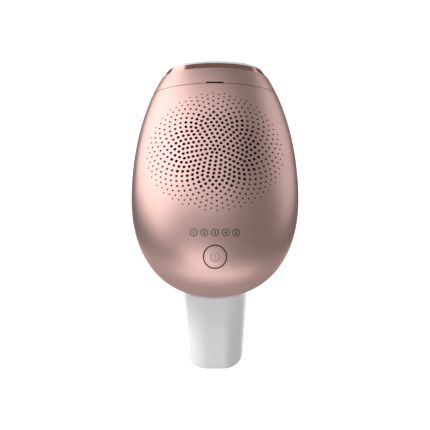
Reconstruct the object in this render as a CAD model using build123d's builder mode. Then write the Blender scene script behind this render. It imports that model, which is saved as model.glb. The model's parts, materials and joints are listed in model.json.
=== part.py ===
from build123d import *

import math
import os

# IPL hair remover: a gun-shaped corded appliance. Millimetres, +Z up, origin at the middle of the grip.
# The user looks along +Y at the rear cover; the treatment window is at the top, the grip runs down and away.

# Head: an egg-shaped pebble, flattened more on the user's side than on the belly side
HEAD_LEAN = 23
HEAD_ORIGIN = (0, -47.1, 7.5)
HALF_WIDTH = 42.0
WIDEST_AT = 54.5
UPPER_REACH = 87.0
LOWER_FULLNESS = 0.62
REAR_DEPTH = 21.0
BELLY_DEPTH = 29.4
BELLY_INSET = 1.0
COVER_WALL = 2.0
BELLY_WALL = 2.2
TRIM_HALF_HEIGHT = 0.4
SEAM_AT = 110.0
SEAM_GAP = 0.15

# Air holes: rings of holes round one centre; past the full rings each is turned half a step from the last
VENT_CENTRE_AT = 71.0
VENT_HOLE_RADIUS = 0.8
VENT_RING_PITCH = 2.34
VENT_SPREAD = 37.6
VENT_FLATTEN = 0.972
VENT_FULL_RINGS = 7
VENT_TURN = 0.618
VENT_THROUGH_RINGS = 9
VENT_LAST_RING = 18
DIMPLE_LARGE_RADIUS = 0.7
DIMPLE_SMALL_RADIUS = 0.36
DIMPLE_DEPTH = 0.55
DIMPLE_CUTTER = 3.0

# Power button and indicators
BUTTON_AT = 15.5
BUTTON_RING_RADIUS = 5.95
BUTTON_RING_WIDTH = 0.5
BUTTON_CAP_RADIUS = 5.3
BUTTON_CAP_THICKNESS = 2.2
BUTTON_STEM_END = 2.9
LED_ROW = 11.9
LED_PITCH = 5.2
LED_COUNT = 5
LED_RADIUS = 1.9
BOARD_DEPTH = 9.0
BOARD_THICKNESS = 1.2

# Grip: an oval handle that slants away from the user
GRIP_LEAN = 55
GRIP_TOP = -40.0
GRIP_END = 37.5
GRIP_WIDTH = 33.0
GRIP_DEPTH = 37.0
GRIP_CORNER = 12.0
GRIP_TAPER = 1.3
GRIP_WALL = 2.2
GRIP_END_ROUNDING = 6.0
GRIP_BLEND = 7.0
SHELL_GAP = 0.1

# Trigger on the front of the grip
TRIGGER_AT = -6.0
TRIGGER_WIDTH = 14.0
TRIGGER_LENGTH = 22.0
TRIGGER_CLEARANCE = 0.35
TRIGGER_FLANGE_AT = 12.4

# Treatment window and its pull-off attachment
WINDOW_OFFSET = -1.2
WINDOW_WIDTH = 31.0
WINDOW_HEIGHT = 12.0
COLLAR_END = 120.0
RING_END = 123.4
RIM_END = 124.85
FUNNEL_END = 123.9
SAFETY_RING_START = 118.0
SAFETY_RING_END = 126.1
LAMP_AT = 100.5

# Fan under the air holes
FAN_BASE = 1.2
FAN_SIZE = 44.0
FAN_HEIGHT = 9.0
FAN_BORE_RADIUS = 20.5
BLADE_COUNT = 7

# Fastening: posts at (across, along) from the belly, bosses under the cover
SCREW_PLACES = [(-30, 40), (30, 40), (-27, 86), (27, 86)]
SCREW_RADIUS = 1.25
SCREW_HEAD_RADIUS = 2.4

LARGE = 220

lean_cos = math.cos(math.radians(HEAD_LEAN))
lean_sin = math.sin(math.radians(HEAD_LEAN))
grip_cos = math.cos(math.radians(GRIP_LEAN))
grip_sin = math.sin(math.radians(GRIP_LEAN))

# Head plane: x across, y along the head towards the window, z out towards the user
HEAD = Plane(origin=HEAD_ORIGIN, x_dir=(1, 0, 0), z_dir=(0, -lean_cos, lean_sin))
# Side plane: x along the head, y out towards the user, z across
SIDE = Plane(origin=HEAD_ORIGIN, x_dir=(0, lean_sin, lean_cos), z_dir=(1, 0, 0))
# Grip plane: x across, y towards the user, z down the grip to its end
GRIP = Plane(origin=(0, 0, 0), x_dir=(1, 0, 0), z_dir=(0, grip_sin, -grip_cos))
# Trigger plane: z out of the front of the grip, y up the grip
TRIGGER = Plane(
    origin=GRIP.from_local_coords((0, 0, TRIGGER_AT)),
    x_dir=(1, 0, 0),
    z_dir=-GRIP.y_dir,
)


def across(along):
    """Plane square to the head's length: x across, y out towards the user, z to the window."""
    return Plane(
        origin=HEAD.from_local_coords((0, 0, 0)) + HEAD.y_dir * along,
        x_dir=(-1, 0, 0),
        z_dir=HEAD.y_dir,
    )


def half_width(along):
    """Half the head's width at a distance along it."""
    if along >= WIDEST_AT:
        return HALF_WIDTH * math.sqrt(1 - ((along - WIDEST_AT) / UPPER_REACH) ** 2)
    low, high = 0.0, 1.0
    for _ in range(40):
        t = (low + high) / 2
        reach = 3 * t * t * (1 - t) * (1 - LOWER_FULLNESS) * WIDEST_AT + t**3 * WIDEST_AT
        if reach < along:
            low = t
        else:
            high = t
    side = 3 * t * (1 - t) ** 2 * LOWER_FULLNESS + 3 * t * t * (1 - t) + t**3
    return HALF_WIDTH * side


def cover_height(x, along):
    """Height of the cover's outer surface above the head plane."""
    return REAR_DEPTH * math.sqrt(max(0, (half_width(along) ** 2 - x * x))) / HALF_WIDTH


def cover_plane(along):
    """Plane that touches the cover's outer surface on its centre line, z outwards."""
    step = 0.01
    rise = (cover_height(0, along + step) - cover_height(0, along - step)) / (2 * step)
    length = math.hypot(1, rise)
    outwards = HEAD.z_dir * (1 / length) - HEAD.y_dir * (rise / length)
    origin = HEAD.from_local_coords((0, along, cover_height(0, along)))
    return Plane(origin=origin, x_dir=(1, 0, 0), z_dir=outwards)


BUTTON = cover_plane(BUTTON_AT)


def outline(inset):
    """Right half of the head's outline, closed on the centre line."""
    width = HALF_WIDTH - inset
    knee = inset + (1 - LOWER_FULLNESS) * (WIDEST_AT - inset)
    lower = Bezier((0, inset), (LOWER_FULLNESS * width, inset), (width, knee), (width, WIDEST_AT))
    upper = EllipticalCenterArc((0, WIDEST_AT), width, UPPER_REACH - inset, start_angle=0, arc_size=90)
    Line(upper @ 1, lower @ 0)


def half_egg(inset, depth, belly=False):
    """Half of the head's solid on one side of the head plane, flattened to the depth."""
    with BuildPart(mode=Mode.PRIVATE) as egg:
        with BuildSketch(Plane.XY):
            with BuildLine():
                outline(inset)
            make_face()
        revolve(axis=Axis.Y, revolution_arc=180)
    flat = scale(egg.part, by=(1, 1, (depth - inset) / (HALF_WIDTH - inset)), mode=Mode.PRIVATE)
    on_user_side = flat.bounding_box().max.Z > 1
    if on_user_side == belly:
        flat = flat.mirror(Plane.XY)
    return HEAD.location * flat


def block(plane, x, y, width, length, height, corner=0.0, mode=Mode.ADD):
    """Block that stands on a plane, its foot centred at x, y."""
    with BuildSketch(plane, mode=Mode.PRIVATE) as foot:
        with Locations((x, y)):
            if corner:
                RectangleRounded(width, length, corner)
            else:
                Rectangle(width, length)
    extrude(foot.sketch, amount=height, mode=mode)


def rod(plane, x, y, radius, height, mode=Mode.ADD):
    """Round rod that stands on a plane at x, y."""
    with BuildSketch(plane, mode=Mode.PRIVATE) as foot:
        with Locations((x, y)):
            Circle(radius)
    extrude(foot.sketch, amount=height, mode=mode)


def cut_beyond(plane):
    """Take away everything on the outward side of a plane."""
    block(plane, 0, 0, LARGE, LARGE, LARGE, mode=Mode.SUBTRACT)


def flipped(plane):
    """The same plane, facing the other way."""
    return Plane(origin=plane.origin, x_dir=plane.x_dir, z_dir=-plane.z_dir)


def keep_between(start, end):
    """Keep only the slice of the head from start to end along its length."""
    cut_beyond(across(end))
    cut_beyond(flipped(across(start)))


def finish(piece, name):
    """Label a finished piece and write its file."""
    piece.part.label = name
    export_step(piece.part, f"parts/{name}.step")


os.makedirs("parts", exist_ok=True)

# ---------------------------------------------------------------- rear cover


def vent_rings():
    """Number, radius, hole count and turn, in steps, of each ring of the air-hole field."""
    rings = []
    for ring in range(1, VENT_LAST_RING + 1):
        radius = VENT_SPREAD * math.sin(VENT_RING_PITCH * ring / VENT_SPREAD)
        full = min(ring, VENT_FULL_RINGS)
        count = 5 * full + 1
        turn = full * VENT_TURN + (ring - full) * 0.5
        rings.append((ring, radius, count, turn))
    return rings


def vent_places():
    """Places of the through holes on the head plane, and of the dimples by their radius."""
    holes = [(0, VENT_CENTRE_AT)]
    dimples = {}
    for ring, radius, count, turn in vent_rings():
        for step in range(count):
            angle = 2 * math.pi * (step + turn) / count
            place = (radius * math.sin(angle), VENT_CENTRE_AT + VENT_FLATTEN * radius * math.cos(angle))
            every_second = ring == VENT_THROUGH_RINGS + 1 and step % 2 == 0
            if ring <= VENT_THROUGH_RINGS or every_second:
                holes.append(place)
            else:
                share = (ring - VENT_THROUGH_RINGS - 1) / (VENT_LAST_RING - VENT_THROUGH_RINGS - 1)
                size = DIMPLE_LARGE_RADIUS + (DIMPLE_SMALL_RADIUS - DIMPLE_LARGE_RADIUS) * share
                dimples.setdefault(size, []).append(place)
    return holes, dimples


def dimple_location(place):
    """Where the middle of a dimple's cutter goes, so that it enters the surface by its depth."""
    x, along = place
    height = cover_height(x, along) - DIMPLE_DEPTH + DIMPLE_CUTTER / 2
    return HEAD.location * Pos(x, along, height)


vent_holes, vent_dimples = vent_places()

with BuildPart() as cover_bosses:
    for boss_x, boss_y in SCREW_PLACES:
        rod(HEAD.offset(TRIM_HALF_HEIGHT), boss_x, boss_y, 3, 20)
    add(half_egg(COVER_WALL / 2, REAR_DEPTH), mode=Mode.INTERSECT)

with BuildPart() as rear_cover:
    add(half_egg(0, REAR_DEPTH))
    add(half_egg(COVER_WALL, REAR_DEPTH), mode=Mode.SUBTRACT)
    add(cover_bosses.part)
    cut_beyond(across(SEAM_AT - SEAM_GAP))
    cut_beyond(flipped(HEAD.offset(TRIM_HALF_HEIGHT)))
    for boss_x, boss_y in SCREW_PLACES:
        rod(HEAD, boss_x, boss_y, SCREW_RADIUS, 9, mode=Mode.SUBTRACT)
    rod(BUTTON.offset(-6), 0, 0, BUTTON_RING_RADIUS, 10, mode=Mode.SUBTRACT)
    for led in range(LED_COUNT):
        led_x = (led - (LED_COUNT - 1) / 2) * LED_PITCH
        rod(BUTTON.offset(-7), led_x, LED_ROW, LED_RADIUS, 10, mode=Mode.SUBTRACT)
    with BuildSketch(HEAD.offset(8), mode=Mode.PRIVATE) as hole_feet:
        with Locations(*vent_holes):
            Circle(VENT_HOLE_RADIUS)
    extrude(hole_feet.sketch, amount=20, mode=Mode.SUBTRACT)
    for dimple_radius, places in vent_dimples.items():
        with Locations(*[dimple_location(place) for place in places]):
            Cylinder(dimple_radius, DIMPLE_CUTTER, mode=Mode.SUBTRACT)
finish(rear_cover, "rear_cover")

# ---------------------------------------------------------------- power button and indicators

with BuildPart() as button_ring:
    rod(BUTTON.offset(-6), 0, 0, BUTTON_RING_RADIUS, 10)
    rod(BUTTON.offset(-6), 0, 0, BUTTON_RING_RADIUS - BUTTON_RING_WIDTH, 10, mode=Mode.SUBTRACT)
    add(half_egg(0, REAR_DEPTH), mode=Mode.INTERSECT)
    add(half_egg(COVER_WALL, REAR_DEPTH), mode=Mode.SUBTRACT)
finish(button_ring, "button_ring")

with BuildPart() as power_button:
    rod(BUTTON.offset(-BUTTON_CAP_THICKNESS), 0, 0, BUTTON_CAP_RADIUS, 6)
    add(half_egg(0, REAR_DEPTH), mode=Mode.INTERSECT)
    rod(BUTTON.offset(-BUTTON_STEM_END), 0, 0, 2, BUTTON_STEM_END - BUTTON_CAP_THICKNESS)
finish(power_button, "power_button")

for led in range(LED_COUNT):
    led_x = (led - (LED_COUNT - 1) / 2) * LED_PITCH
    with BuildPart() as indicator_lens:
        rod(BUTTON.offset(-7), led_x, LED_ROW, LED_RADIUS, 10)
        add(half_egg(0, REAR_DEPTH), mode=Mode.INTERSECT)
        add(half_egg(COVER_WALL, REAR_DEPTH), mode=Mode.SUBTRACT)
    finish(indicator_lens, f"indicator_lens_{led + 1}")

with BuildPart() as control_board:
    block(BUTTON.offset(-BOARD_DEPTH), 0, 5.5, 32, 25, BOARD_THICKNESS, corner=2)
finish(control_board, "control_board")

with BuildPart() as button_switch:
    block(BUTTON.offset(-BOARD_DEPTH + BOARD_THICKNESS), 0, 0, 6, 6, 3.4)
    rod(BUTTON.offset(-BOARD_DEPTH + BOARD_THICKNESS + 3.4), 0, 0, 1.6, 0.7)
finish(button_switch, "button_switch")

with BuildPart() as led_array:
    for led in range(LED_COUNT):
        led_x = (led - (LED_COUNT - 1) / 2) * LED_PITCH
        block(BUTTON.offset(-BOARD_DEPTH + BOARD_THICKNESS), led_x, LED_ROW, 1.6, 1.6, 0.8)
finish(led_array, "led_array")

with BuildPart() as light_shield:
    block(BUTTON.offset(-6.9), 0, LED_ROW, 26.4, 5, 2.0, corner=1)
    for led in range(LED_COUNT):
        led_x = (led - (LED_COUNT - 1) / 2) * LED_PITCH
        rod(BUTTON.offset(-7), led_x, LED_ROW, 1.3, 3, mode=Mode.SUBTRACT)
    for foot_x in (-11, 11):
        block(BUTTON.offset(-BOARD_DEPTH + BOARD_THICKNESS), foot_x + 1.5 * math.copysign(1, foot_x),
              LED_ROW, 1.0, 4, 0.9)
finish(light_shield, "light_shield")

with BuildPart() as control_chip:
    block(BUTTON.offset(-BOARD_DEPTH - 1.1), 0, 7, 8, 8, 1.1)
finish(control_chip, "control_chip")

# ---------------------------------------------------------------- white housing

with BuildPart() as grip_body:
    with BuildSketch(GRIP.offset(GRIP_TOP)):
        RectangleRounded(GRIP_WIDTH, GRIP_DEPTH, GRIP_CORNER)
    extrude(amount=GRIP_END - GRIP_TOP, taper=GRIP_TAPER)
    fillet(grip_body.faces().sort_by(Axis((0, 0, 0), tuple(GRIP.z_dir)))[-1].edges(), GRIP_END_ROUNDING)

with BuildPart() as grip_cavity:
    with BuildSketch(GRIP.offset(GRIP_TOP)):
        RectangleRounded(GRIP_WIDTH - 2 * GRIP_WALL, GRIP_DEPTH - 2 * GRIP_WALL, GRIP_CORNER - GRIP_WALL)
    extrude(amount=GRIP_END - GRIP_TOP - GRIP_WALL, taper=GRIP_TAPER)

with BuildPart() as housing:
    add(half_egg(BELLY_INSET, BELLY_DEPTH, belly=True))
    add(grip_body.part)
    belly = half_egg(BELLY_INSET, BELLY_DEPTH, belly=True)
    fillet(new_edges(belly, grip_body.part, combined=housing.part), GRIP_BLEND)
    cut_beyond(HEAD.offset(-TRIM_HALF_HEIGHT))

with BuildPart() as handle_rear_shell:
    add(housing.part)
    cut_beyond(Plane(origin=GRIP.y_dir * SHELL_GAP, x_dir=(1, 0, 0), z_dir=-GRIP.y_dir))
    add(half_egg(BELLY_INSET - 2 * SHELL_GAP, BELLY_DEPTH, belly=True), mode=Mode.SUBTRACT)
    add(grip_cavity.part, mode=Mode.SUBTRACT)
    rod(GRIP.offset(GRIP_END - 3), 0, 0, 6.5, 10, mode=Mode.SUBTRACT)
finish(handle_rear_shell, "handle_rear_shell")

with BuildPart() as handle_side:
    block(Plane(origin=(0, 0, 0), x_dir=(1, 0, 0), z_dir=GRIP.y_dir), 0, 0, LARGE, LARGE, LARGE)
    add(half_egg(BELLY_INSET - SHELL_GAP, BELLY_DEPTH, belly=True), mode=Mode.SUBTRACT)

with BuildPart() as posts:
    for post_x, post_y in SCREW_PLACES:
        rod(HEAD.offset(-30), post_x, post_y, 3.6, 29.4)
    add(half_egg(BELLY_INSET + 1, BELLY_DEPTH, belly=True), mode=Mode.INTERSECT)

with BuildPart() as front_shell:
    add(housing.part)
    add(handle_side.part, mode=Mode.SUBTRACT)
    add(half_egg(BELLY_INSET + BELLY_WALL, BELLY_DEPTH, belly=True), mode=Mode.SUBTRACT)
    add(grip_cavity.part, mode=Mode.SUBTRACT)
    add(posts.part)
    cut_beyond(HEAD.offset(-TRIM_HALF_HEIGHT))
    cut_beyond(across(SEAM_AT - SEAM_GAP))
    for post_x, post_y in SCREW_PLACES:
        rod(HEAD.offset(-40), post_x, post_y, SCREW_HEAD_RADIUS + 0.2, 31, mode=Mode.SUBTRACT)
        rod(HEAD.offset(-40), post_x, post_y, SCREW_RADIUS, 45, mode=Mode.SUBTRACT)
    for slot in range(6):
        block(HEAD.offset(-34), 0, 68 + slot * 3.6, 26, 1.7, 14, corner=0.8, mode=Mode.SUBTRACT)
    block(TRIGGER.offset(11), 0, 0, TRIGGER_WIDTH + 2 * TRIGGER_CLEARANCE,
          TRIGGER_LENGTH + 2 * TRIGGER_CLEARANCE, 12, corner=6.35, mode=Mode.SUBTRACT)
    rod(GRIP.offset(GRIP_END - 3), 0, 0, 6.5, 10, mode=Mode.SUBTRACT)
finish(front_shell, "front_shell")

with BuildPart() as edge_trim:
    for inset, mode in ((0.5, Mode.ADD), (COVER_WALL, Mode.SUBTRACT)):
        with BuildSketch(HEAD.offset(-TRIM_HALF_HEIGHT), mode=Mode.PRIVATE) as trim_outline:
            with BuildLine():
                outline(inset)
            make_face()
            mirror(about=Plane.YZ)
        extrude(trim_outline.sketch, amount=2 * TRIM_HALF_HEIGHT, mode=mode)
    cut_beyond(across(SEAM_AT - SEAM_GAP))
finish(edge_trim, "edge_trim")

with BuildPart() as housing_screws:
    for screw_x, screw_y in SCREW_PLACES:
        rod(HEAD.offset(-9), screw_x, screw_y, SCREW_RADIUS, 17.5)
        rod(HEAD.offset(-10.6), screw_x, screw_y, SCREW_HEAD_RADIUS, 1.6)
        with BuildSketch(HEAD.offset(-10.6), mode=Mode.PRIVATE) as socket:
            with Locations((screw_x, screw_y)):
                Rectangle(2.6, 0.6)
                Rectangle(0.6, 2.6)
        extrude(socket.sketch, amount=0.9, mode=Mode.SUBTRACT)
finish(housing_screws, "housing_screws")

# ---------------------------------------------------------------- mains adapter inlet in the grip's end

with BuildPart() as inlet_bezel:
    rod(GRIP.offset(GRIP_END - 3), 0, 0, 6.5, 3.4)
    rod(GRIP.offset(GRIP_END - 3), 0, 0, 4.4, 3.4, mode=Mode.SUBTRACT)
    chamfer(inlet_bezel.faces().sort_by(Axis((0, 0, 0), tuple(GRIP.z_dir)))[-1].edges(), 0.3)
finish(inlet_bezel, "inlet_bezel")

with BuildPart() as inlet_body:
    rod(GRIP.offset(GRIP_END - 13), 0, 0, 6.0, 10)
    rod(GRIP.offset(GRIP_END - 11.5), 0, 0, 4.4, 10, mode=Mode.SUBTRACT)
finish(inlet_body, "inlet_body")

with BuildPart() as inlet_pin:
    rod(GRIP.offset(GRIP_END - 11.5), 0, 0, 1.0, 9)
    fillet(inlet_pin.faces().sort_by(Axis((0, 0, 0), tuple(GRIP.z_dir)))[-1].edges(), 0.5)
finish(inlet_pin, "inlet_pin")

# ---------------------------------------------------------------- trigger

with BuildPart() as trigger:
    block(TRIGGER.offset(TRIGGER_FLANGE_AT), 0, 0, 17, 25, 1.3, corner=6)
    block(TRIGGER.offset(TRIGGER_FLANGE_AT), 0, 0, TRIGGER_WIDTH, TRIGGER_LENGTH, 8.6, corner=6)
    fillet(trigger.faces().sort_by(Axis((0, 0, 0), tuple(TRIGGER.z_dir)))[-1].edges(), 1.6)
    with BuildSketch(Plane(origin=TRIGGER.origin, x_dir=TRIGGER.y_dir, z_dir=TRIGGER.x_dir).offset(-10),
                     mode=Mode.PRIVATE) as dish:
        with Locations((0, TRIGGER_FLANGE_AT + 8.6 + 38.8)):
            Circle(40)
    extrude(dish.sketch, amount=20, mode=Mode.SUBTRACT)
finish(trigger, "trigger")

with BuildPart() as trigger_bracket:
    block(TRIGGER.offset(4.6), 0, 0, 22, 27, 1.2, corner=2)
finish(trigger_bracket, "trigger_bracket")

with BuildPart() as trigger_switch:
    block(TRIGGER.offset(5.8), 0, -3.5, 6, 12, 3.4)
    block(TRIGGER.offset(9.2), 0, -1.5, 3, 3, 0.8)
finish(trigger_switch, "trigger_switch")

with BuildPart() as trigger_spring:
    with BuildLine() as spring_line:
        Helix(pitch=1.05, height=4.2, radius=2.6)
    with BuildSketch(Plane(origin=spring_line.line @ 0, z_dir=spring_line.line % 0)):
        Circle(0.3)
    sweep()
trigger_spring.part = TRIGGER.offset(6.15).location * Pos(0, 7.5, 0) * trigger_spring.part
finish(trigger_spring, "trigger_spring")

# ---------------------------------------------------------------- power supply

with BuildPart() as main_capacitor:
    rod(GRIP.offset(-27), 0, 5, 9, 42)
    fillet(main_capacitor.edges(), 0.8)
finish(main_capacitor, "main_capacitor")

with BuildPart() as capacitor_clamp:
    rod(GRIP.offset(8), 0, 5, 9.7, 5)
    rod(GRIP.offset(8), 0, 5, 9, 5, mode=Mode.SUBTRACT)
finish(capacitor_clamp, "capacitor_clamp")

with BuildPart() as power_board:
    block(HEAD.offset(-7.6), 0, 65, 46, 46, 1.6, corner=2)
finish(power_board, "power_board")

with BuildPart() as transformer_core:
    block(HEAD.offset(-20.6), -10, 55, 20, 16, 13)
    for window_x in (-15, -5):
        block(HEAD.offset(-18.6), window_x, 55, 4, 16, 9, mode=Mode.SUBTRACT)
finish(transformer_core, "transformer_core")

with BuildPart() as transformer_coil:
    block(HEAD.offset(-18.6), -10, 55, 14, 24, 9, corner=1)
    block(HEAD.offset(-18.6), -10, 55, 6, 16, 9, mode=Mode.SUBTRACT)
finish(transformer_coil, "transformer_coil")

with BuildPart() as heat_sink:
    block(HEAD.offset(-20), 6.5, 58, 2, 22, 12.4)
    for fin in range(5):
        block(HEAD.offset(-20), 12, 49 + fin * 4.5, 9, 1.4, 12.4)
finish(heat_sink, "heat_sink")

with BuildPart() as power_transistor:
    block(HEAD.offset(-19), 3.5, 58, 4, 10, 11.4)
finish(power_transistor, "power_transistor")

with BuildPart() as choke:
    with Locations(HEAD.offset(-10.4).location * Pos(-10, 78, 0)):
        Torus(5.6, 2.6)
finish(choke, "choke")

# ---------------------------------------------------------------- fan

with BuildPart() as fan_frame:
    block(HEAD.offset(FAN_BASE), 0, VENT_CENTRE_AT, FAN_SIZE, FAN_SIZE, FAN_HEIGHT, corner=3)
    rod(HEAD.offset(FAN_BASE), 0, VENT_CENTRE_AT, FAN_BORE_RADIUS, FAN_HEIGHT, mode=Mode.SUBTRACT)
    rod(HEAD.offset(FAN_BASE), 0, VENT_CENTRE_AT, 8, 1.2)
    block(HEAD.offset(FAN_BASE), 0, VENT_CENTRE_AT, 2.4, 2 * FAN_BORE_RADIUS, 1.2)
    block(HEAD.offset(FAN_BASE), 0, VENT_CENTRE_AT, 2 * FAN_BORE_RADIUS, 2.4, 1.2)
    for corner_x in (-18.6, 18.6):
        for corner_y in (-18.6, 18.6):
            rod(HEAD, corner_x, VENT_CENTRE_AT + corner_y, 1.3, 12, mode=Mode.SUBTRACT)
finish(fan_frame, "fan_frame")

with BuildPart() as fan_screws:
    for corner_x in (-18.6, 18.6):
        for corner_y in (-18.6, 18.6):
            rod(HEAD.offset(FAN_BASE), corner_x, VENT_CENTRE_AT + corner_y, 1.3, FAN_HEIGHT)
            rod(HEAD.offset(FAN_BASE + FAN_HEIGHT), corner_x, VENT_CENTRE_AT + corner_y, 2.3, 0.8)
finish(fan_screws, "fan_screws")

with BuildPart() as fan_bearing:
    rod(HEAD.offset(FAN_BASE + 1.2), 0, VENT_CENTRE_AT, 3.5, 4.4)
    rod(HEAD.offset(FAN_BASE + 1.2), 0, VENT_CENTRE_AT, 1.05, 4.4, mode=Mode.SUBTRACT)
finish(fan_bearing, "fan_bearing")

with BuildPart() as fan_shaft:
    rod(HEAD.offset(FAN_BASE + 1.6), 0, VENT_CENTRE_AT, 1.0, 6.3)
finish(fan_shaft, "fan_shaft")

with BuildPart() as fan_rotor:
    rod(HEAD.offset(3.0), 0, VENT_CENTRE_AT, 9.5, 6.6)
    rod(HEAD.offset(3.0), 0, VENT_CENTRE_AT, 8.5, 5.6, mode=Mode.SUBTRACT)
    for blade in range(BLADE_COUNT):
        turned = HEAD.location * Pos(0, VENT_CENTRE_AT, 6.2) * Rot(0, 0, blade * 360 / BLADE_COUNT)
        add(turned * Pos(14.3, 0, 0) * Rot(35, 0, 0) * Box(10.6, 7.4, 0.9, mode=Mode.PRIVATE))
    rod(HEAD.offset(FAN_BASE + 1.6), 0, VENT_CENTRE_AT, 1.0, 6.3, mode=Mode.SUBTRACT)
finish(fan_rotor, "fan_rotor")

with BuildPart() as dust_screen:
    rod(HEAD.offset(11.4), 0, VENT_CENTRE_AT, 22, 0.4)
    mesh_places = [(2.6 * column, 2.6 * row) for column in range(-7, 8) for row in range(-7, 8)]
    with BuildSketch(HEAD.offset(11), mode=Mode.PRIVATE) as screen_holes:
        for mesh_x, mesh_y in mesh_places:
            if math.hypot(mesh_x, mesh_y) < 19:
                with Locations((mesh_x, VENT_CENTRE_AT + mesh_y)):
                    Rectangle(1.8, 1.8)
    extrude(screen_holes.sketch, amount=2, mode=Mode.SUBTRACT)
finish(dust_screen, "dust_screen")

# ---------------------------------------------------------------- lamp and window

with BuildPart() as window_frame:
    add(half_egg(COVER_WALL + 0.05, REAR_DEPTH))
    add(half_egg(BELLY_INSET + BELLY_WALL + 0.05, BELLY_DEPTH, belly=True))
    keep_between(107, SEAM_AT - SEAM_GAP)
    block(across(107), 0, WINDOW_OFFSET, WINDOW_WIDTH + 3, WINDOW_HEIGHT + 3, 5.2, corner=2)
    block(across(106), 0, WINDOW_OFFSET, WINDOW_WIDTH, WINDOW_HEIGHT, 8, mode=Mode.SUBTRACT)
finish(window_frame, "window_frame")

with BuildPart() as filter_gasket:
    block(across(108.4), 0, WINDOW_OFFSET, WINDOW_WIDTH, WINDOW_HEIGHT, 1)
    block(across(108.4), 0, WINDOW_OFFSET, WINDOW_WIDTH - 1.6, WINDOW_HEIGHT - 1.6, 1, mode=Mode.SUBTRACT)
finish(filter_gasket, "filter_gasket")

with BuildPart() as filter_glass:
    block(across(109.4), 0, WINDOW_OFFSET, WINDOW_WIDTH, WINDOW_HEIGHT, 2)
finish(filter_glass, "filter_glass")

with BuildPart() as reflector:
    with BuildSketch(SIDE.offset(-23), mode=Mode.PRIVATE) as trough:
        with Locations((101, WINDOW_OFFSET)):
            Rectangle(11.8, 13.2)
        with Locations((LAMP_AT, WINDOW_OFFSET)):
            Circle(5.6, mode=Mode.SUBTRACT)
        with Locations((LAMP_AT + 5, WINDOW_OFFSET)):
            Rectangle(10, 11.2, mode=Mode.SUBTRACT)
    extrude(trough.sketch, amount=46)
finish(reflector, "reflector")

with BuildPart() as flash_lamp:
    rod(SIDE.offset(-27), LAMP_AT, WINDOW_OFFSET, 2.4, 54)
    rod(SIDE.offset(-27), LAMP_AT, WINDOW_OFFSET, 1.7, 54, mode=Mode.SUBTRACT)
finish(flash_lamp, "flash_lamp")

with BuildPart() as lamp_electrodes:
    for start in (-29.5, 27):
        rod(SIDE.offset(start), LAMP_AT, WINDOW_OFFSET, 2.4, 2.5)
finish(lamp_electrodes, "lamp_electrodes")

with BuildPart() as lamp_holders:
    for start in (-26.5, 23):
        block(SIDE.offset(start), LAMP_AT, WINDOW_OFFSET, 9, 9, 3.5, corner=1)
        rod(SIDE.offset(start), LAMP_AT, WINDOW_OFFSET, 2.4, 3.5, mode=Mode.SUBTRACT)
finish(lamp_holders, "lamp_holders")

with BuildPart() as trigger_coil:
    rod(SIDE.offset(-9), 97, -14.6, 3.2, 18)
    for flange in (-9, 7.6):
        rod(SIDE.offset(flange), 97, -14.6, 4.2, 1.4)
finish(trigger_coil, "trigger_coil")

with BuildPart() as lamp_leads:
    for side in (-1, 1):
        with BuildLine() as lead_line:
            FilletPolyline(
                HEAD.from_local_coords((side * 28.2, LAMP_AT - 2.4, WINDOW_OFFSET)),
                HEAD.from_local_coords((side * 28.2, LAMP_AT - 5.5, WINDOW_OFFSET)),
                HEAD.from_local_coords((side * 19, 86.5, -4)),
                HEAD.from_local_coords((side * 19, 86.5, -6)),
                radius=0.9,
            )
        with BuildSketch(Plane(origin=lead_line.line @ 0, z_dir=lead_line.line % 0)):
            Circle(0.6)
        sweep(path=lead_line.line)
finish(lamp_leads, "lamp_leads")

with BuildPart() as contact_pins:
    for pin_x in (-21, -18.5, 18.5, 21):
        rod(across(SEAM_AT - SEAM_GAP), pin_x, WINDOW_OFFSET, 0.8, 1.6)
finish(contact_pins, "contact_pins")

# ---------------------------------------------------------------- pull-off attachment

with BuildPart() as attachment_collar:
    add(half_egg(0, REAR_DEPTH))
    keep_between(SEAM_AT + SEAM_GAP, COLLAR_END)
    add(half_egg(COVER_WALL, REAR_DEPTH), mode=Mode.SUBTRACT)
    block(HEAD.offset(11.8), 0, SEAM_AT + SEAM_GAP + 0.25, 9.2, 1.0, 9, corner=0.45, mode=Mode.SUBTRACT)
finish(attachment_collar, "attachment_collar")

with BuildPart() as attachment_front:
    add(half_egg(BELLY_INSET, BELLY_DEPTH, belly=True))
    keep_between(SEAM_AT + SEAM_GAP, COLLAR_END)
    add(half_egg(BELLY_INSET + COVER_WALL, BELLY_DEPTH, belly=True), mode=Mode.SUBTRACT)
finish(attachment_front, "attachment_front")

with BuildPart() as attachment_base:
    add(half_egg(COVER_WALL, REAR_DEPTH))
    add(half_egg(BELLY_INSET + COVER_WALL, BELLY_DEPTH, belly=True))
    keep_between(112.6, 114.2)
    block(across(112), 0, WINDOW_OFFSET, WINDOW_WIDTH + 4, WINDOW_HEIGHT + 4, 4, corner=2.4, mode=Mode.SUBTRACT)
finish(attachment_base, "attachment_base")

with BuildPart() as attachment_contacts:
    for pin_x in (-21, -18.5, 18.5, 21):
        rod(across(112.0), pin_x, WINDOW_OFFSET, 0.9, 0.6)
finish(attachment_contacts, "attachment_contacts")

with BuildPart() as copper_ring:
    add(half_egg(0.35, REAR_DEPTH))
    add(half_egg(BELLY_INSET + 0.35, BELLY_DEPTH, belly=True))
    keep_between(COLLAR_END, RING_END)
    block(across(COLLAR_END - 1), 0, WINDOW_OFFSET, 40, 20.4, 8, corner=7, mode=Mode.SUBTRACT)
finish(copper_ring, "copper_ring")

with BuildPart() as attachment_rim:
    add(half_egg(0.5, REAR_DEPTH))
    add(half_egg(BELLY_INSET + 0.5, BELLY_DEPTH, belly=True))
    keep_between(RING_END, RIM_END)
    block(across(COLLAR_END - 1), 0, WINDOW_OFFSET, 40, 20.4, 8, corner=7, mode=Mode.SUBTRACT)
finish(attachment_rim, "attachment_rim")

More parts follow.
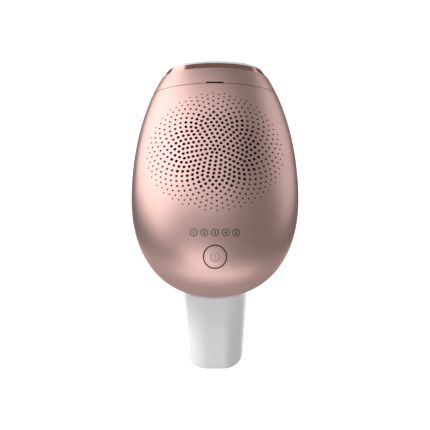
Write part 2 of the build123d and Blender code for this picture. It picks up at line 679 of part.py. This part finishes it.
with BuildPart() as light_funnel:
    block(across(114.2), 0, WINDOW_OFFSET, WINDOW_WIDTH + 2.2, WINDOW_HEIGHT + 2.2, FUNNEL_END - 114.2, corner=1.5)
    block(across(114.2), 0, WINDOW_OFFSET, WINDOW_WIDTH + 7, WINDOW_HEIGHT + 6, 0.5, corner=1.5)
    block(across(114), 0, WINDOW_OFFSET, WINDOW_WIDTH, WINDOW_HEIGHT, 12, mode=Mode.SUBTRACT)
finish(light_funnel, "light_funnel")

with BuildPart() as safety_ring:
    block(across(SAFETY_RING_START), 0, WINDOW_OFFSET, 39.3, 19.7, SAFETY_RING_END - SAFETY_RING_START, corner=6.8)
    fillet(safety_ring.faces().sort_by(Axis((0, 0, 0), tuple(HEAD.y_dir)))[-1].edges(), 1.2)
    block(across(SAFETY_RING_START - 1), 0, WINDOW_OFFSET, 34.2, 15.2, 10, corner=2, mode=Mode.SUBTRACT)
finish(safety_ring, "safety_ring")
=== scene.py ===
import json
import math

import bpy
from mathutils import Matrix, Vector


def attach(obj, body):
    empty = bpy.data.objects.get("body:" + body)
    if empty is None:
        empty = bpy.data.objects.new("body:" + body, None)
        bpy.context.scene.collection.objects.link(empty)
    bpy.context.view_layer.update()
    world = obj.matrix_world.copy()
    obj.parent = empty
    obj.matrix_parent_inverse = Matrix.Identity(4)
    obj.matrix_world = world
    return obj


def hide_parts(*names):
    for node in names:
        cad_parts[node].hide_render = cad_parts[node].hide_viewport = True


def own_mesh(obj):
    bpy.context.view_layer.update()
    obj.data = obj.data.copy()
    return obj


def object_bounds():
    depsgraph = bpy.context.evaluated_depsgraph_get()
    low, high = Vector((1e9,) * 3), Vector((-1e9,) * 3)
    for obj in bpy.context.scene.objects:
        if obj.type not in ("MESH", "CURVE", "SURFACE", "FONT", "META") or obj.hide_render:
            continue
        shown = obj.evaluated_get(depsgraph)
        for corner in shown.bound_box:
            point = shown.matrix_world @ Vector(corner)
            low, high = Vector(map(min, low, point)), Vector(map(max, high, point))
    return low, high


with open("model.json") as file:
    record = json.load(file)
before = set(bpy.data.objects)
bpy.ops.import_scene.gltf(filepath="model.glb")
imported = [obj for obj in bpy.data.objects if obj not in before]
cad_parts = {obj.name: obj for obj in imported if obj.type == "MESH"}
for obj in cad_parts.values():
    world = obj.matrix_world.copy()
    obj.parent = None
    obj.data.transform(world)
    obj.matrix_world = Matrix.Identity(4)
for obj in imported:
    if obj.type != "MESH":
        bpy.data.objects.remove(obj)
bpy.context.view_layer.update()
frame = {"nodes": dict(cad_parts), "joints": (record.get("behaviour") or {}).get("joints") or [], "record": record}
nodes = frame["nodes"]
MM = 0.001

# ---------------------------------------------------------------- the head's directions
joints = {joint["name"]: joint for joint in frame["joints"]}
ACROSS = Vector((1, 0, 0))
ALONG = Vector(joints["attachment_pull_off"]["axis"]).normalized()
OUT = ACROSS.cross(ALONG).normalized()
FAN_ALONG = 71.0
FAN_OUT = 6.0
VENT_FIELD_RADIUS = 36.0
HEAD_ORIGIN = Vector(joints["fan_spin"]["pos_m"]) / MM - ALONG * FAN_ALONG - OUT * FAN_OUT

# ---------------------------------------------------------------- the head's surface, in millimetres
HALF_WIDTH = 42.0
WIDEST_AT = 54.5
UPPER_REACH = 87.0
LOWER_FULLNESS = 0.62
REAR_DEPTH = 21.0
BELLY_DEPTH = 29.4
BELLY_INSET = 1.0
BUTTON_AT = 15.5
LED_ROW = 11.9
LED_PITCH = 5.2
LED_COUNT = 5


def half_width(along, inset=0.0):
    """Half the head's width at a distance along it, for an outline set in by inset."""
    width = HALF_WIDTH - inset
    if along >= WIDEST_AT:
        share = (along - WIDEST_AT) / (UPPER_REACH - inset)
        return width * math.sqrt(max(0.0, 1 - share * share))
    knee = inset + (1 - LOWER_FULLNESS) * (WIDEST_AT - inset)
    low, high = 0.0, 1.0
    for _ in range(40):
        t = (low + high) / 2
        reach = inset * ((1 - t) ** 3 + 3 * t * (1 - t) ** 2)
        reach += 3 * t * t * (1 - t) * knee + t**3 * WIDEST_AT
        if reach < along:
            low = t
        else:
            high = t
    return width * (3 * t * (1 - t) ** 2 * LOWER_FULLNESS + 3 * t * t * (1 - t) + t**3)


def to_head(point):
    """A point in metres as millimetres across, along and out of the head plane."""
    offset = point / MM - HEAD_ORIGIN
    return offset.dot(ACROSS), offset.dot(ALONG), offset.dot(OUT)


def from_head(across, along, out):
    """The point in metres at millimetres across, along and out of the head plane."""
    return (HEAD_ORIGIN + ACROSS * across + ALONG * along + OUT * out) * MM


def surface_height(across, along, inset=0.0, depth=REAR_DEPTH):
    """Height of the head's surface over the head plane."""
    width = half_width(along, inset)
    squash = (depth - inset) / (HALF_WIDTH - inset)
    return squash * math.sqrt(max(0.0, width * width - across * across))


def surface_normal(across, along, out, inset=0.0, depth=REAR_DEPTH):
    """Outward direction of the head's surface at a point on it."""
    step = 0.02
    width = half_width(along, inset)
    slope = (half_width(along + step, inset) - half_width(along - step, inset)) / (2 * step)
    squash = (depth - inset) / (HALF_WIDTH - inset)
    return (ACROSS * across - ALONG * (width * slope) + OUT * (out / squash**2)).normalized()


# ---------------------------------------------------------------- material helpers


def new_material(name):
    """An empty node material with its shader and output."""
    material = bpy.data.materials.new(name)
    material.use_nodes = True
    shader = material.node_tree.nodes["Principled BSDF"]
    return material, material.node_tree, shader


def noise(tree, scale, detail=3.0, roughness=0.5):
    """Noise in object space; scale is in cells per metre."""
    coordinates = tree.nodes.new("ShaderNodeTexCoord")
    texture = tree.nodes.new("ShaderNodeTexNoise")
    texture.inputs["Scale"].default_value = scale
    texture.inputs["Detail"].default_value = detail
    texture.inputs["Roughness"].default_value = roughness
    tree.links.new(coordinates.outputs["Object"], texture.inputs["Vector"])
    return texture


def ramp(tree, source, stops):
    """Colour ramp over a value; stops are (place, colour)."""
    node = tree.nodes.new("ShaderNodeValToRGB")
    node.color_ramp.elements[0].position = stops[0][0]
    node.color_ramp.elements[0].color = (*stops[0][1], 1)
    node.color_ramp.elements[1].position = stops[-1][0]
    node.color_ramp.elements[1].color = (*stops[-1][1], 1)
    for place, colour in stops[1:-1]:
        element = node.color_ramp.elements.new(place)
        element.color = (*colour, 1)
    tree.links.new(source, node.inputs["Fac"])
    return node.outputs["Color"]


def value_range(tree, source, low, high):
    """Maps a 0..1 value to low..high."""
    node = tree.nodes.new("ShaderNodeMapRange")
    node.inputs["To Min"].default_value = low
    node.inputs["To Max"].default_value = high
    tree.links.new(source, node.inputs["Value"])
    return node.outputs["Result"]


def bump(tree, shader, height, distance):
    """Bump from a height value; distance in metres."""
    node = tree.nodes.new("ShaderNodeBump")
    node.inputs["Strength"].default_value = 1.0
    node.inputs["Distance"].default_value = distance
    tree.links.new(height, node.inputs["Height"])
    tree.links.new(node.outputs["Normal"], shader.inputs["Normal"])


def scaled(colour, factor):
    """A colour made lighter or darker, kept within white."""
    return tuple(min(1.0, part * factor) for part in colour)


def moulded(
    name, colour, roughness, spread=0.05, grain=4000, depth=4e-6,
    coat=0.0, tint=0.06, metallic=0.0, specular=0.5,
):
    """Moulded or painted surface: faint colour drift, uneven gloss and a fine grain."""
    material, tree, shader = new_material(name)
    drift = noise(tree, 60, 2)
    fine = noise(tree, grain, 2)
    tree.links.new(
        ramp(tree, drift.outputs["Fac"], [(0.3, scaled(colour, 1 - tint)), (0.7, scaled(colour, 1 + tint))]),
        shader.inputs["Base Color"],
    )
    tree.links.new(
        value_range(tree, fine.outputs["Fac"], roughness - spread, roughness + spread),
        shader.inputs["Roughness"],
    )
    shader.inputs["Metallic"].default_value = metallic
    shader.inputs["Coat Weight"].default_value = coat
    shader.inputs["Coat Roughness"].default_value = 0.1
    shader.inputs["Specular IOR Level"].default_value = specular
    bump(tree, shader, fine.outputs["Fac"], depth)
    return material


def metallic_paint(name, colour, roughness, coat):
    """Satin metallic paint: flakes that vary in brightness under a soft clear coat."""
    material, tree, shader = new_material(name)
    flakes = noise(tree, 9000, 1, 0.7)
    drift = noise(tree, 25, 2)
    mixed = tree.nodes.new("ShaderNodeMath")
    mixed.operation = "MULTIPLY_ADD"
    mixed.inputs[1].default_value = 0.75
    tree.links.new(flakes.outputs["Fac"], mixed.inputs[0])
    weighted = tree.nodes.new("ShaderNodeMath")
    weighted.operation = "MULTIPLY"
    weighted.inputs[1].default_value = 0.25
    tree.links.new(drift.outputs["Fac"], weighted.inputs[0])
    tree.links.new(weighted.outputs[0], mixed.inputs[2])
    stops = [(0.3, scaled(colour, 0.9)), (0.5, colour), (0.7, scaled(colour, 1.08))]
    tree.links.new(ramp(tree, mixed.outputs[0], stops), shader.inputs["Base Color"])
    tree.links.new(
        value_range(tree, flakes.outputs["Fac"], roughness - 0.04, roughness + 0.04),
        shader.inputs["Roughness"],
    )
    shader.inputs["Metallic"].default_value = 1.0
    shader.inputs["Coat Weight"].default_value = coat
    shader.inputs["Coat Roughness"].default_value = 0.35
    bump(tree, shader, flakes.outputs["Fac"], 6e-6)
    return material


def clear(name, colour, roughness=0.03):
    """Clear glass with faint unevenness."""
    material, tree, shader = new_material(name)
    drift = noise(tree, 120, 2)
    tree.links.new(
        ramp(tree, drift.outputs["Fac"], [(0.3, scaled(colour, 0.97)), (0.7, colour)]),
        shader.inputs["Base Color"],
    )
    gloss = value_range(tree, drift.outputs["Fac"], roughness, roughness + 0.02)
    tree.links.new(gloss, shader.inputs["Roughness"])
    shader.inputs["Transmission Weight"].default_value = 1.0
    shader.inputs["IOR"].default_value = 1.46
    return material


def wound(name, colour):
    """Enamelled wire in close turns, with painted shade darkening the grooves between turns."""
    material, tree, shader = new_material(name)
    coordinates = tree.nodes.new("ShaderNodeTexCoord")
    wave = tree.nodes.new("ShaderNodeTexWave")
    wave.inputs["Scale"].default_value = 900
    tree.links.new(coordinates.outputs["Object"], wave.inputs["Vector"])
    # Painted shade: the darker end of the ramp falls in the bump's grooves between the turns.
    tree.links.new(
        ramp(tree, wave.outputs["Fac"], [(0.1, scaled(colour, 0.5)), (0.8, colour)]),
        shader.inputs["Base Color"],
    )
    shader.inputs["Metallic"].default_value = 0.7
    tree.links.new(value_range(tree, wave.outputs["Fac"], 0.5, 0.3), shader.inputs["Roughness"])
    bump(tree, shader, wave.outputs["Fac"], 1e-4)
    return material


ROSE = (0.74, 0.49, 0.45)
MATERIALS = {
    "rose_metal": metallic_paint("rose_metal_paint", ROSE, 0.38, 0.04),
    "dark_trim": moulded("dark_brown_trim", (0.05, 0.03, 0.027), 0.4, specular=0.35),
    "white_plastic": moulded("white_gloss_plastic", (0.9, 0.9, 0.905), 0.22, 0.03, tint=0.01, coat=0.3),
    "soft_white_plastic": moulded("white_satin_plastic", (0.88, 0.88, 0.89), 0.38, 0.05, tint=0.01),
    "copper_metal": moulded("copper_plating", (0.80, 0.42, 0.34), 0.12, 0.03, metallic=1.0, depth=1e-6),
    "circuit_board": moulded("green_solder_mask", (0.02, 0.16, 0.07), 0.35, tint=0.25),
    "black_plastic": moulded("black_moulded_plastic", (0.02, 0.02, 0.022), 0.45, depth=1e-5),
    "grey_plastic": moulded("grey_moulded_plastic", (0.32, 0.33, 0.35), 0.4, depth=1e-5),
    "ceramic_white": moulded("fired_ceramic", (0.8, 0.77, 0.72), 0.5),
    "nickel": moulded("nickel_plating", (0.72, 0.71, 0.68), 0.18, metallic=1.0, depth=1e-6),
    "steel": moulded("zinc_plated_steel", (0.55, 0.55, 0.57), 0.32, metallic=1.0),
    "gold_contact": moulded("gold_plating", (0.83, 0.6, 0.25), 0.22, metallic=1.0, depth=1e-6),
    "led_white": moulded("led_resin", (0.9, 0.87, 0.75), 0.2),
    "capacitor_sleeve": moulded("capacitor_sleeve_film", (0.03, 0.04, 0.12), 0.25),
    "ferrite": moulded("sintered_ferrite", (0.06, 0.06, 0.065), 0.6, depth=2e-5),
    "copper_wire": wound("enamelled_wire", (0.62, 0.27, 0.1)),
    "aluminium_bare": moulded("extruded_aluminium", (0.7, 0.71, 0.73), 0.34, metallic=1.0),
    "mirror_metal": moulded("polished_reflector", (0.88, 0.89, 0.9), 0.08, 0.02, metallic=1.0, depth=1e-6),
    "lamp_glass": clear("quartz_tube", (0.95, 0.98, 1.0)),
    "filter_glass": clear("coated_filter_glass", (0.95, 0.62, 0.35)),
    "rubber_seal": moulded("soft_rubber", (0.03, 0.03, 0.03), 0.7),
    "wire_red": moulded("wire_insulation", (0.4, 0.02, 0.02), 0.45),
}
slot_of = {row["node"]: row["material_slot"] for row in frame["record"]["subparts"]}


def dress(piece, material):
    """Give a piece one material."""
    piece.data.materials.clear()
    piece.data.materials.append(material)


for node_name, node in nodes.items():
    dress(node, MATERIALS[slot_of[node_name]])

# ---------------------------------------------------------------- curved skins with exact normals

SKIN_TOLERANCE = 0.12
FACE_AGREEMENT = 0.8
RING_INSET = 0.35
RIM_INSET = 0.5
SKINS = {
    "rear": (0.0, REAR_DEPTH, 1),
    "belly": (BELLY_INSET, BELLY_DEPTH, -1),
    "rear_ring": (RING_INSET, REAR_DEPTH, 1),
    "belly_ring": (BELLY_INSET + RING_INSET, BELLY_DEPTH, -1),
    "rear_rim": (RIM_INSET, REAR_DEPTH, 1),
    "belly_rim": (BELLY_INSET + RIM_INSET, BELLY_DEPTH, -1),
}


def skin_normal(point, face_normal, skins):
    """Exact normal where the point lies on one of the skins and the face agrees, else the face's own."""
    across, along, out = to_head(point)
    for skin in skins:
        inset, depth, side = SKINS[skin]
        if out * side < -0.01:
            continue
        squash = (depth - inset) / (HALF_WIDTH - inset)
        if abs(math.hypot(across, out / squash) - half_width(along, inset)) > SKIN_TOLERANCE:
            continue
        exact = surface_normal(across, along, out, inset, depth)
        if exact.dot(face_normal) > FACE_AGREEMENT:
            return exact
    return None


def skinned_copy(node_name, skins, body):
    """A copy of a CAD node's mesh that shades as the true curved surface."""
    mesh = nodes[node_name].data.copy()
    piece = bpy.data.objects.new(node_name + "_skin", mesh)
    bpy.context.scene.collection.objects.link(piece)
    new = [Vector(item.vector) for item in mesh.corner_normals]
    for polygon in mesh.polygons:
        for loop_index in polygon.loop_indices:
            vertex = mesh.vertices[mesh.loops[loop_index].vertex_index]
            exact = skin_normal(vertex.co, polygon.normal, skins)
            if exact is not None:
                new[loop_index] = exact
    mesh.normals_split_custom_set([tuple(normal) for normal in new])
    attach(piece, body)
    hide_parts(node_name)
    return piece


body_of = {name: body for body, names in frame["record"]["behaviour"]["bodies"].items() for name in names}
SKINNED = {
    "rear_cover": ["rear"],
    "power_button": ["rear"],
    "button_ring": ["rear"],
    "attachment_collar": ["rear"],
    "front_shell": ["belly"],
    "attachment_front": ["belly"],
    "copper_ring": ["rear_ring", "belly_ring"],
    "attachment_rim": ["rear_rim", "belly_rim"],
    **{f"indicator_lens_{number}": ["rear"] for number in range(1, LED_COUNT + 1)},
}
skinned = {name: skinned_copy(name, skins, body_of[name]) for name, skins in SKINNED.items()}


def shade_inside(piece, skins, material):
    """Give the faces under the air-hole field that aren't on the outer skin a second material, a near-black one
    that paints shade into the holes, dimples and under the cover.
    """
    piece.data.materials.append(material)
    for polygon in piece.data.polygons:
        across, along, out = to_head(polygon.center)
        in_field = math.hypot(across, along - FAN_ALONG) < VENT_FIELD_RADIUS
        if in_field and skin_normal(polygon.center, polygon.normal, skins) is None:
            polygon.material_index = 1


# Painted shade: near-black brown on the hole walls, dimple bottoms and cover inside within the air-hole field.
INSIDE_SHADE = moulded("shaded_cover_inside", (0.045, 0.022, 0.018), 0.6)
shade_inside(skinned["rear_cover"], ["rear"], INSIDE_SHADE)

# ---------------------------------------------------------------- the trigger's spring


def pressed_spring():
    """A copy of the spring, attached to the trigger spring's body, with a mesh of its own."""
    piece = bpy.data.objects.new("trigger_spring_coil", nodes["trigger_spring"].data.copy())
    bpy.context.scene.collection.objects.link(piece)
    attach(piece, body_of["trigger_spring"])
    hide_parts("trigger_spring")
    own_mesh(piece)


pressed_spring()

# ---------------------------------------------------------------- printed marks on the cover

MARK_INK = moulded("brown_printing_ink", (0.05, 0.028, 0.024), 0.5, specular=0.3)
ICON_INK = moulded("grey_printing_ink", (0.42, 0.37, 0.36), 0.4)
MARK_LIFT = 0.06
MARK_SINK = 0.02
OUTLINE_OUTER = 1.9
OUTLINE_INNER = 1.55
NUMERAL_HEIGHT = 1.8


def button_frame():
    """Origin and directions of the flat that touches the cover at the power button."""
    out = surface_height(0, BUTTON_AT)
    normal = surface_normal(0, BUTTON_AT, out)
    upward = normal.cross(ACROSS).normalized()
    return from_head(0, BUTTON_AT, out) / MM, upward, normal


BUTTON_ORIGIN, BUTTON_UP, BUTTON_OUT = button_frame()


def on_cover(x, y, lift):
    """Point of the cover's surface over x, y of the button's flat, lifted a little, in metres."""
    start = BUTTON_ORIGIN + ACROSS * x + BUTTON_UP * y
    low, high = -8.0, 3.0
    for _ in range(30):
        middle = (low + high) / 2
        across, along, out = to_head((start + BUTTON_OUT * middle) * MM)
        if out < surface_height(across, along):
            low = middle
        else:
            high = middle
    return (start + BUTTON_OUT * (low + lift)) * MM


def printed(name, vertices, faces, ink, body):
    """A thin printed mark that follows the cover: vertices are places on the button's flat."""
    mesh = bpy.data.meshes.new(name)
    count = len(vertices)
    top = [on_cover(x, y, MARK_LIFT) for x, y in vertices]
    bottom = [on_cover(x, y, -MARK_SINK) for x, y in vertices]
    edges = {}
    for face in faces:
        for first, second in zip(face, face[1:] + face[:1]):
            edges[(first, second)] = edges.get((first, second), 0) + 1
    walls = [
        (second, first, first + count, second + count)
        for first, second in edges
        if (second, first) not in edges
    ]
    under = [tuple(index + count for index in reversed(face)) for face in faces]
    mesh.from_pydata(top + bottom, [], [tuple(face) for face in faces] + under + walls)
    mesh.validate()
    mesh.update()
    piece = bpy.data.objects.new(name, mesh)
    bpy.context.scene.collection.objects.link(piece)
    dress(piece, ink)
    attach(piece, body)
    return piece


def arc_band(centre_x, centre_y, outer, inner, start=0.0, turn=360.0, steps=64):
    """Vertices and faces of a flat ring or arc, angles in degrees from upright, clockwise."""
    whole = turn >= 360
    count = steps if whole else steps + 1
    vertices = []
    for step in range(count):
        angle = math.radians(start + turn * step / steps)
        for radius in (outer, inner):
            vertices.append((centre_x + radius * math.sin(angle), centre_y + radius * math.cos(angle)))
    faces = []
    for step in range(steps):
        a = 2 * step
        b = 2 * ((step + 1) % count)
        faces.append([a, a + 1, b + 1, b])
    return vertices, faces


def numeral(text, centre_x, centre_y, height):
    """Vertices and faces of a numeral from the built-in typeface, centred."""
    curve = bpy.data.curves.new("numeral_" + text, "FONT")
    curve.body = text
    curve.size = 1.0
    curve.offset = 0.02
    holder = bpy.data.objects.new("numeral_holder_" + text, curve)
    bpy.context.scene.collection.objects.link(holder)
    bpy.context.view_layer.update()
    depsgraph = bpy.context.evaluated_depsgraph_get()
    mesh = bpy.data.meshes.new_from_object(holder.evaluated_get(depsgraph))
    xs = [vertex.co.x for vertex in mesh.vertices]
    ys = [vertex.co.y for vertex in mesh.vertices]
    size = height / (max(ys) - min(ys))
    middle_x, middle_y = (max(xs) + min(xs)) / 2, (max(ys) + min(ys)) / 2
    vertices = [
        (centre_x + (vertex.co.x - middle_x) * size, centre_y + (vertex.co.y - middle_y) * size)
        for vertex in mesh.vertices
    ]
    faces = [list(polygon.vertices) for polygon in mesh.polygons]
    bpy.data.objects.remove(holder)
    return vertices, faces


for number in range(1, LED_COUNT + 1):
    led_x = (number - (LED_COUNT + 1) / 2) * LED_PITCH
    ring_vertices, ring_faces = arc_band(led_x, LED_ROW, OUTLINE_OUTER, OUTLINE_INNER)
    printed(f"indicator_outline_{number}", ring_vertices, ring_faces, MARK_INK, "housing")
    mark_vertices, mark_faces = numeral(str(number), led_x, LED_ROW, NUMERAL_HEIGHT)
    printed(f"indicator_numeral_{number}", mark_vertices, mark_faces, MARK_INK, "housing")

icon_vertices, icon_faces = arc_band(0, 0, 2.45, 1.8, start=14, turn=332)
printed("power_mark_arc", icon_vertices, icon_faces, ICON_INK, "power_button")
bar = [(-0.3, -1.1), (0.3, -1.1), (0.3, 1.2), (-0.3, 1.2)]
printed("power_mark_bar", bar, [[0, 1, 2, 3]], ICON_INK, "power_button")

# ---------------------------------------------------------------- floor, light and camera

low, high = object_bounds()
PICTURE_MIDDLE_RISE = 40.7
MIDDLE = Vector((0, HEAD_ORIGIN.y * MM, (HEAD_ORIGIN.z + PICTURE_MIDDLE_RISE) * MM))
FLOOR_DROP = 0.1
FLOOR_Z = low.z - FLOOR_DROP


def fade(tree, source, start, end):
    """A smooth 0..1 rise of a value from start to end; a fall where start is the larger."""
    node = tree.nodes.new("ShaderNodeMapRange")
    node.interpolation_type = "SMOOTHSTEP"
    rising = end > start
    node.inputs["From Min"].default_value = start if rising else end
    node.inputs["From Max"].default_value = end if rising else start
    node.inputs["To Min"].default_value = 0.0 if rising else 1.0
    node.inputs["To Max"].default_value = 1.0 if rising else 0.0
    tree.links.new(source, node.inputs["Value"])
    return node.outputs["Result"]


def calculate(tree, operation, first, second=None):
    """One step of arithmetic between node outputs or numbers."""
    node = tree.nodes.new("ShaderNodeMath")
    node.operation = operation
    for socket, value in zip(node.inputs, (first, second)):
        if isinstance(value, (int, float)):
            socket.default_value = value
        elif value is not None:
            tree.links.new(value, socket)
    return node.outputs[0]


BACK_GLOW = 0.94
FRONT_GLOW = 0.85


def studio_paper():
    """Pale paper that glows as painted light: it gives off light of its own behind the object and in a soft patch
    in front of it.
    """
    paper = moulded("studio_paper", (0.66, 0.66, 0.66), 0.9, tint=0.002)
    tree = paper.node_tree
    place = tree.nodes.new("ShaderNodeSeparateXYZ")
    coordinates = tree.nodes.new("ShaderNodeTexCoord")
    tree.links.new(coordinates.outputs["Object"], place.inputs[0])
    sideways = calculate(tree, "ABSOLUTE", place.outputs["X"])
    depth = place.outputs["Y"]
    behind = calculate(tree, "MULTIPLY", fade(tree, depth, 0.1, 0.7), fade(tree, sideways, 0.7, 0.3))
    before = calculate(tree, "MULTIPLY", fade(tree, depth, -1.5, -0.8), fade(tree, depth, -0.15, -0.4))
    before = calculate(tree, "MULTIPLY", before, fade(tree, sideways, 0.55, 0.15))
    back_light = calculate(tree, "MULTIPLY", behind, BACK_GLOW)
    front_light = calculate(tree, "MULTIPLY", before, FRONT_GLOW)
    total = calculate(tree, "ADD", back_light, front_light)
    shader = tree.nodes["Principled BSDF"]
    # Painted light: the paper itself glows in these patches, with no lamp lighting it there.
    shader.inputs["Emission Color"].default_value = (1, 1, 1, 1)
    tree.links.new(total, shader.inputs["Emission Strength"])
    return paper


def backdrop():
    """A pale floor that curves up into a wall behind."""
    curve_start, curve_radius = 1.2, 0.6
    profile = [(-3.0, 0.0), (curve_start, 0.0)]
    for step in range(1, 10):
        angle = math.radians(10 * step)
        rise = curve_radius - curve_radius * math.cos(angle)
        profile.append((curve_start + curve_radius * math.sin(angle), rise))
    profile.append((curve_start + curve_radius, 3.0))
    mesh = bpy.data.meshes.new("studio_floor")
    vertices = [(side * 4.0, y, FLOOR_Z + z) for y, z in profile for side in (-1, 1)]
    faces = [(2 * i, 2 * i + 1, 2 * i + 3, 2 * i + 2) for i in range(len(profile) - 1)]
    mesh.from_pydata(vertices, [], faces)
    mesh.update()
    for polygon in mesh.polygons:
        polygon.use_smooth = True
    piece = bpy.data.objects.new("studio_floor", mesh)
    bpy.context.scene.collection.objects.link(piece)
    dress(piece, studio_paper())
    return piece


backdrop()


def aim(name, light, place, target):
    """Put a light at a place, facing a target."""
    holder = bpy.data.objects.new(name, light)
    holder.location = place
    holder.rotation_euler = (Vector(target) - Vector(place)).to_track_quat("-Z", "Y").to_euler()
    bpy.context.scene.collection.objects.link(holder)


def softbox(name, place, target, width, height, power):
    """A rectangular area light that faces a target."""
    light = bpy.data.lights.new(name, "AREA")
    light.shape = "RECTANGLE"
    light.size = width
    light.size_y = height
    light.energy = power
    aim(name, light, place, target)


def snoot(name, place, target, cone, power):
    """A narrow soft-edged beam, its cone in degrees."""
    light = bpy.data.lights.new(name, "SPOT")
    light.energy = power
    light.spot_size = math.radians(cone)
    light.spot_blend = 1.0
    light.shadow_soft_size = 0.05
    aim(name, light, place, target)


HEAD_MIDDLE = tuple(MIDDLE)
softbox("key_left", (-0.84, -0.12, 0.82), HEAD_MIDDLE, 1.7, 1.0, 9.2)
softbox("top_front", (-0.15, -0.60, 0.85), HEAD_MIDDLE, 0.7, 0.6, 1.35)
softbox("front_low", (-0.26, -1.05, 0.06), HEAD_MIDDLE, 0.5, 0.34, 1.0)
softbox("side_right", (0.85, 0.1, 0.62), HEAD_MIDDLE, 0.9, 0.8, 1.6)
snoot("handle_left", (-0.9, -0.35, -0.12), (0.0, 0.014, -0.04), 4.2, 90)

world = bpy.data.worlds.new("studio_world")
world.use_nodes = True
world.node_tree.nodes["Background"].inputs["Color"].default_value = (1, 1, 1, 1)
world.node_tree.nodes["Background"].inputs["Strength"].default_value = 0.2
bpy.context.scene.world = world

CAMERA_DISTANCE = 0.9
FRAME_WIDTH = 0.2159
SENSOR_WIDTH = 36
PLANE_OF_FRAME = 0.02
camera_data = bpy.data.cameras.new("camera")
camera_data.sensor_width = SENSOR_WIDTH
camera_data.lens = SENSOR_WIDTH * CAMERA_DISTANCE / FRAME_WIDTH
camera = bpy.data.objects.new("camera", camera_data)
camera.location = (0, MIDDLE.y + PLANE_OF_FRAME - CAMERA_DISTANCE, MIDDLE.z)
camera.rotation_euler = (math.radians(90), 0, 0)
bpy.context.scene.collection.objects.link(camera)
bpy.context.scene.camera = camera

bpy.context.scene.view_settings.view_transform = "Standard"
